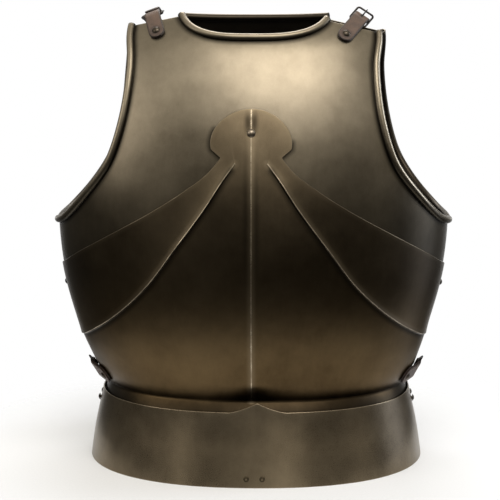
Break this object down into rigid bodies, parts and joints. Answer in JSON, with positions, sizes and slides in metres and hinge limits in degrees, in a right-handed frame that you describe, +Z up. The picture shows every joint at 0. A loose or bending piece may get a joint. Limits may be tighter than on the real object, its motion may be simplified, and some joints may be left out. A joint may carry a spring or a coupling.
{
  "type": "cuirass",
  "caption": "Gothic cuirass: rolled breastplate with fluted plackart, hinged backplate, flaring fauld and culet, leather straps and buckles.",
  "frame": {"origin": "middle of the overall width and depth, on the ground plane under the lower rims of the fauld and the culet", "axes": "+Z up, the wearer's front faces -Y, +X to the viewer's right from the front"},
  "size_m": [0.4134, 0.3002, 0.463],
  "materials": {
    "aged_steel": "antiqued dark bronze brown steel, worn bright on edges",
    "rivet_steel": "domed rivets, worn bright on top",
    "eyelet_metal": "dull aged metal",
    "strap_leather": "dark brown vegetable leather with darker edges",
    "black_steel": "blackened steel"
  },
  "bodies": {
    "front": {"breastplate": "aged_steel", "plackart": "aged_steel", "plackart_centre_rivet": "rivet_steel", "plackart_side_rivets": "rivet_steel", "fauld_pivot_rivets": "rivet_steel", "shoulder_left_strap": "strap_leather", "shoulder_left_rivet": "rivet_steel", "shoulder_left_buckle": "black_steel", "shoulder_left_tongue": "black_steel", "shoulder_right_rivet": "rivet_steel", "side_left_strap": "strap_leather", "side_left_rivet": "rivet_steel", "side_left_buckle": "black_steel", "side_right_strap": "strap_leather", "side_right_rivet": "rivet_steel", "side_right_buckle": "black_steel"},
    "fauld": {"fauld": "aged_steel", "fauld_eyelets": "eyelet_metal"},
    "back": {"backplate": "aged_steel", "culet_pivot_rivets": "rivet_steel", "shoulder_left_billet": "strap_leather", "shoulder_left_billet_rivet": "rivet_steel", "shoulder_right_billet": "strap_leather", "shoulder_right_billet_rivet": "rivet_steel", "side_left_billet": "strap_leather", "side_left_billet_rivet": "rivet_steel", "side_right_billet": "strap_leather", "side_right_billet_rivet": "rivet_steel"},
    "culet": {"culet": "aged_steel"},
    "right_shoulder_strap": {"shoulder_right_strap": "strap_leather"},
    "right_shoulder_buckle": {"shoulder_right_buckle": "black_steel"},
    "right_shoulder_tongue": {"shoulder_right_tongue": "black_steel"},
    "left_side_tongue": {"side_left_tongue": "black_steel"},
    "right_side_tongue": {"side_right_tongue": "black_steel"}
  },
  "joints": [
    {"name": "backplate_open", "type": "hinge", "parent": "front", "child": "back", "pos_m": [0, 0.019, 0.456], "axis": [1, 0, 0], "range_deg": [0, 35], "deforming": ["shoulder_left_billet"]},
    {"name": "fauld_pivot", "type": "hinge", "parent": "front", "child": "fauld", "pos_m": [0, -0.0065, 0.0575], "axis": [1, 0, 0], "range_deg": [-5, 4]},
    {"name": "culet_pivot", "type": "hinge", "parent": "back", "child": "culet", "pos_m": [0, 0.0205, 0.0575], "axis": [1, 0, 0], "range_deg": [-4, 10]},
    {"name": "right_shoulder_strap_swivel", "type": "hinge", "parent": "front", "child": "right_shoulder_strap", "pos_m": [0.09038, -0.07938, 0.43397], "axis": [0.2486, -0.7529, 0.6094], "range_deg": [-4, 15]},
    {"name": "right_shoulder_buckle_tilt", "type": "hinge", "parent": "right_shoulder_strap", "child": "right_shoulder_buckle", "pos_m": [0.10695, -0.05805, 0.45207], "axis": [0.8192, -0.1723, -0.547], "range_deg": [0, 25]},
    {"name": "right_shoulder_tongue_lift", "type": "hinge", "parent": "right_shoulder_buckle", "child": "right_shoulder_tongue", "pos_m": [0.10695, -0.05805, 0.45207], "axis": [0.8192, -0.1723, -0.547], "range_deg": [0, 85]},
    {"name": "left_side_tongue_lift", "type": "hinge", "parent": "front", "child": "left_side_tongue", "pos_m": [-0.16443, -0.00883, 0.09162], "axis": [-0.4798, -0.2193, 0.8495], "range_deg": [0, 85]},
    {"name": "right_side_tongue_lift", "type": "hinge", "parent": "front", "child": "right_side_tongue", "pos_m": [0.16994, -0.00881, 0.09158], "axis": [-0.4422, 0.2021, -0.8738], "range_deg": [0, 85]}
  ]
}
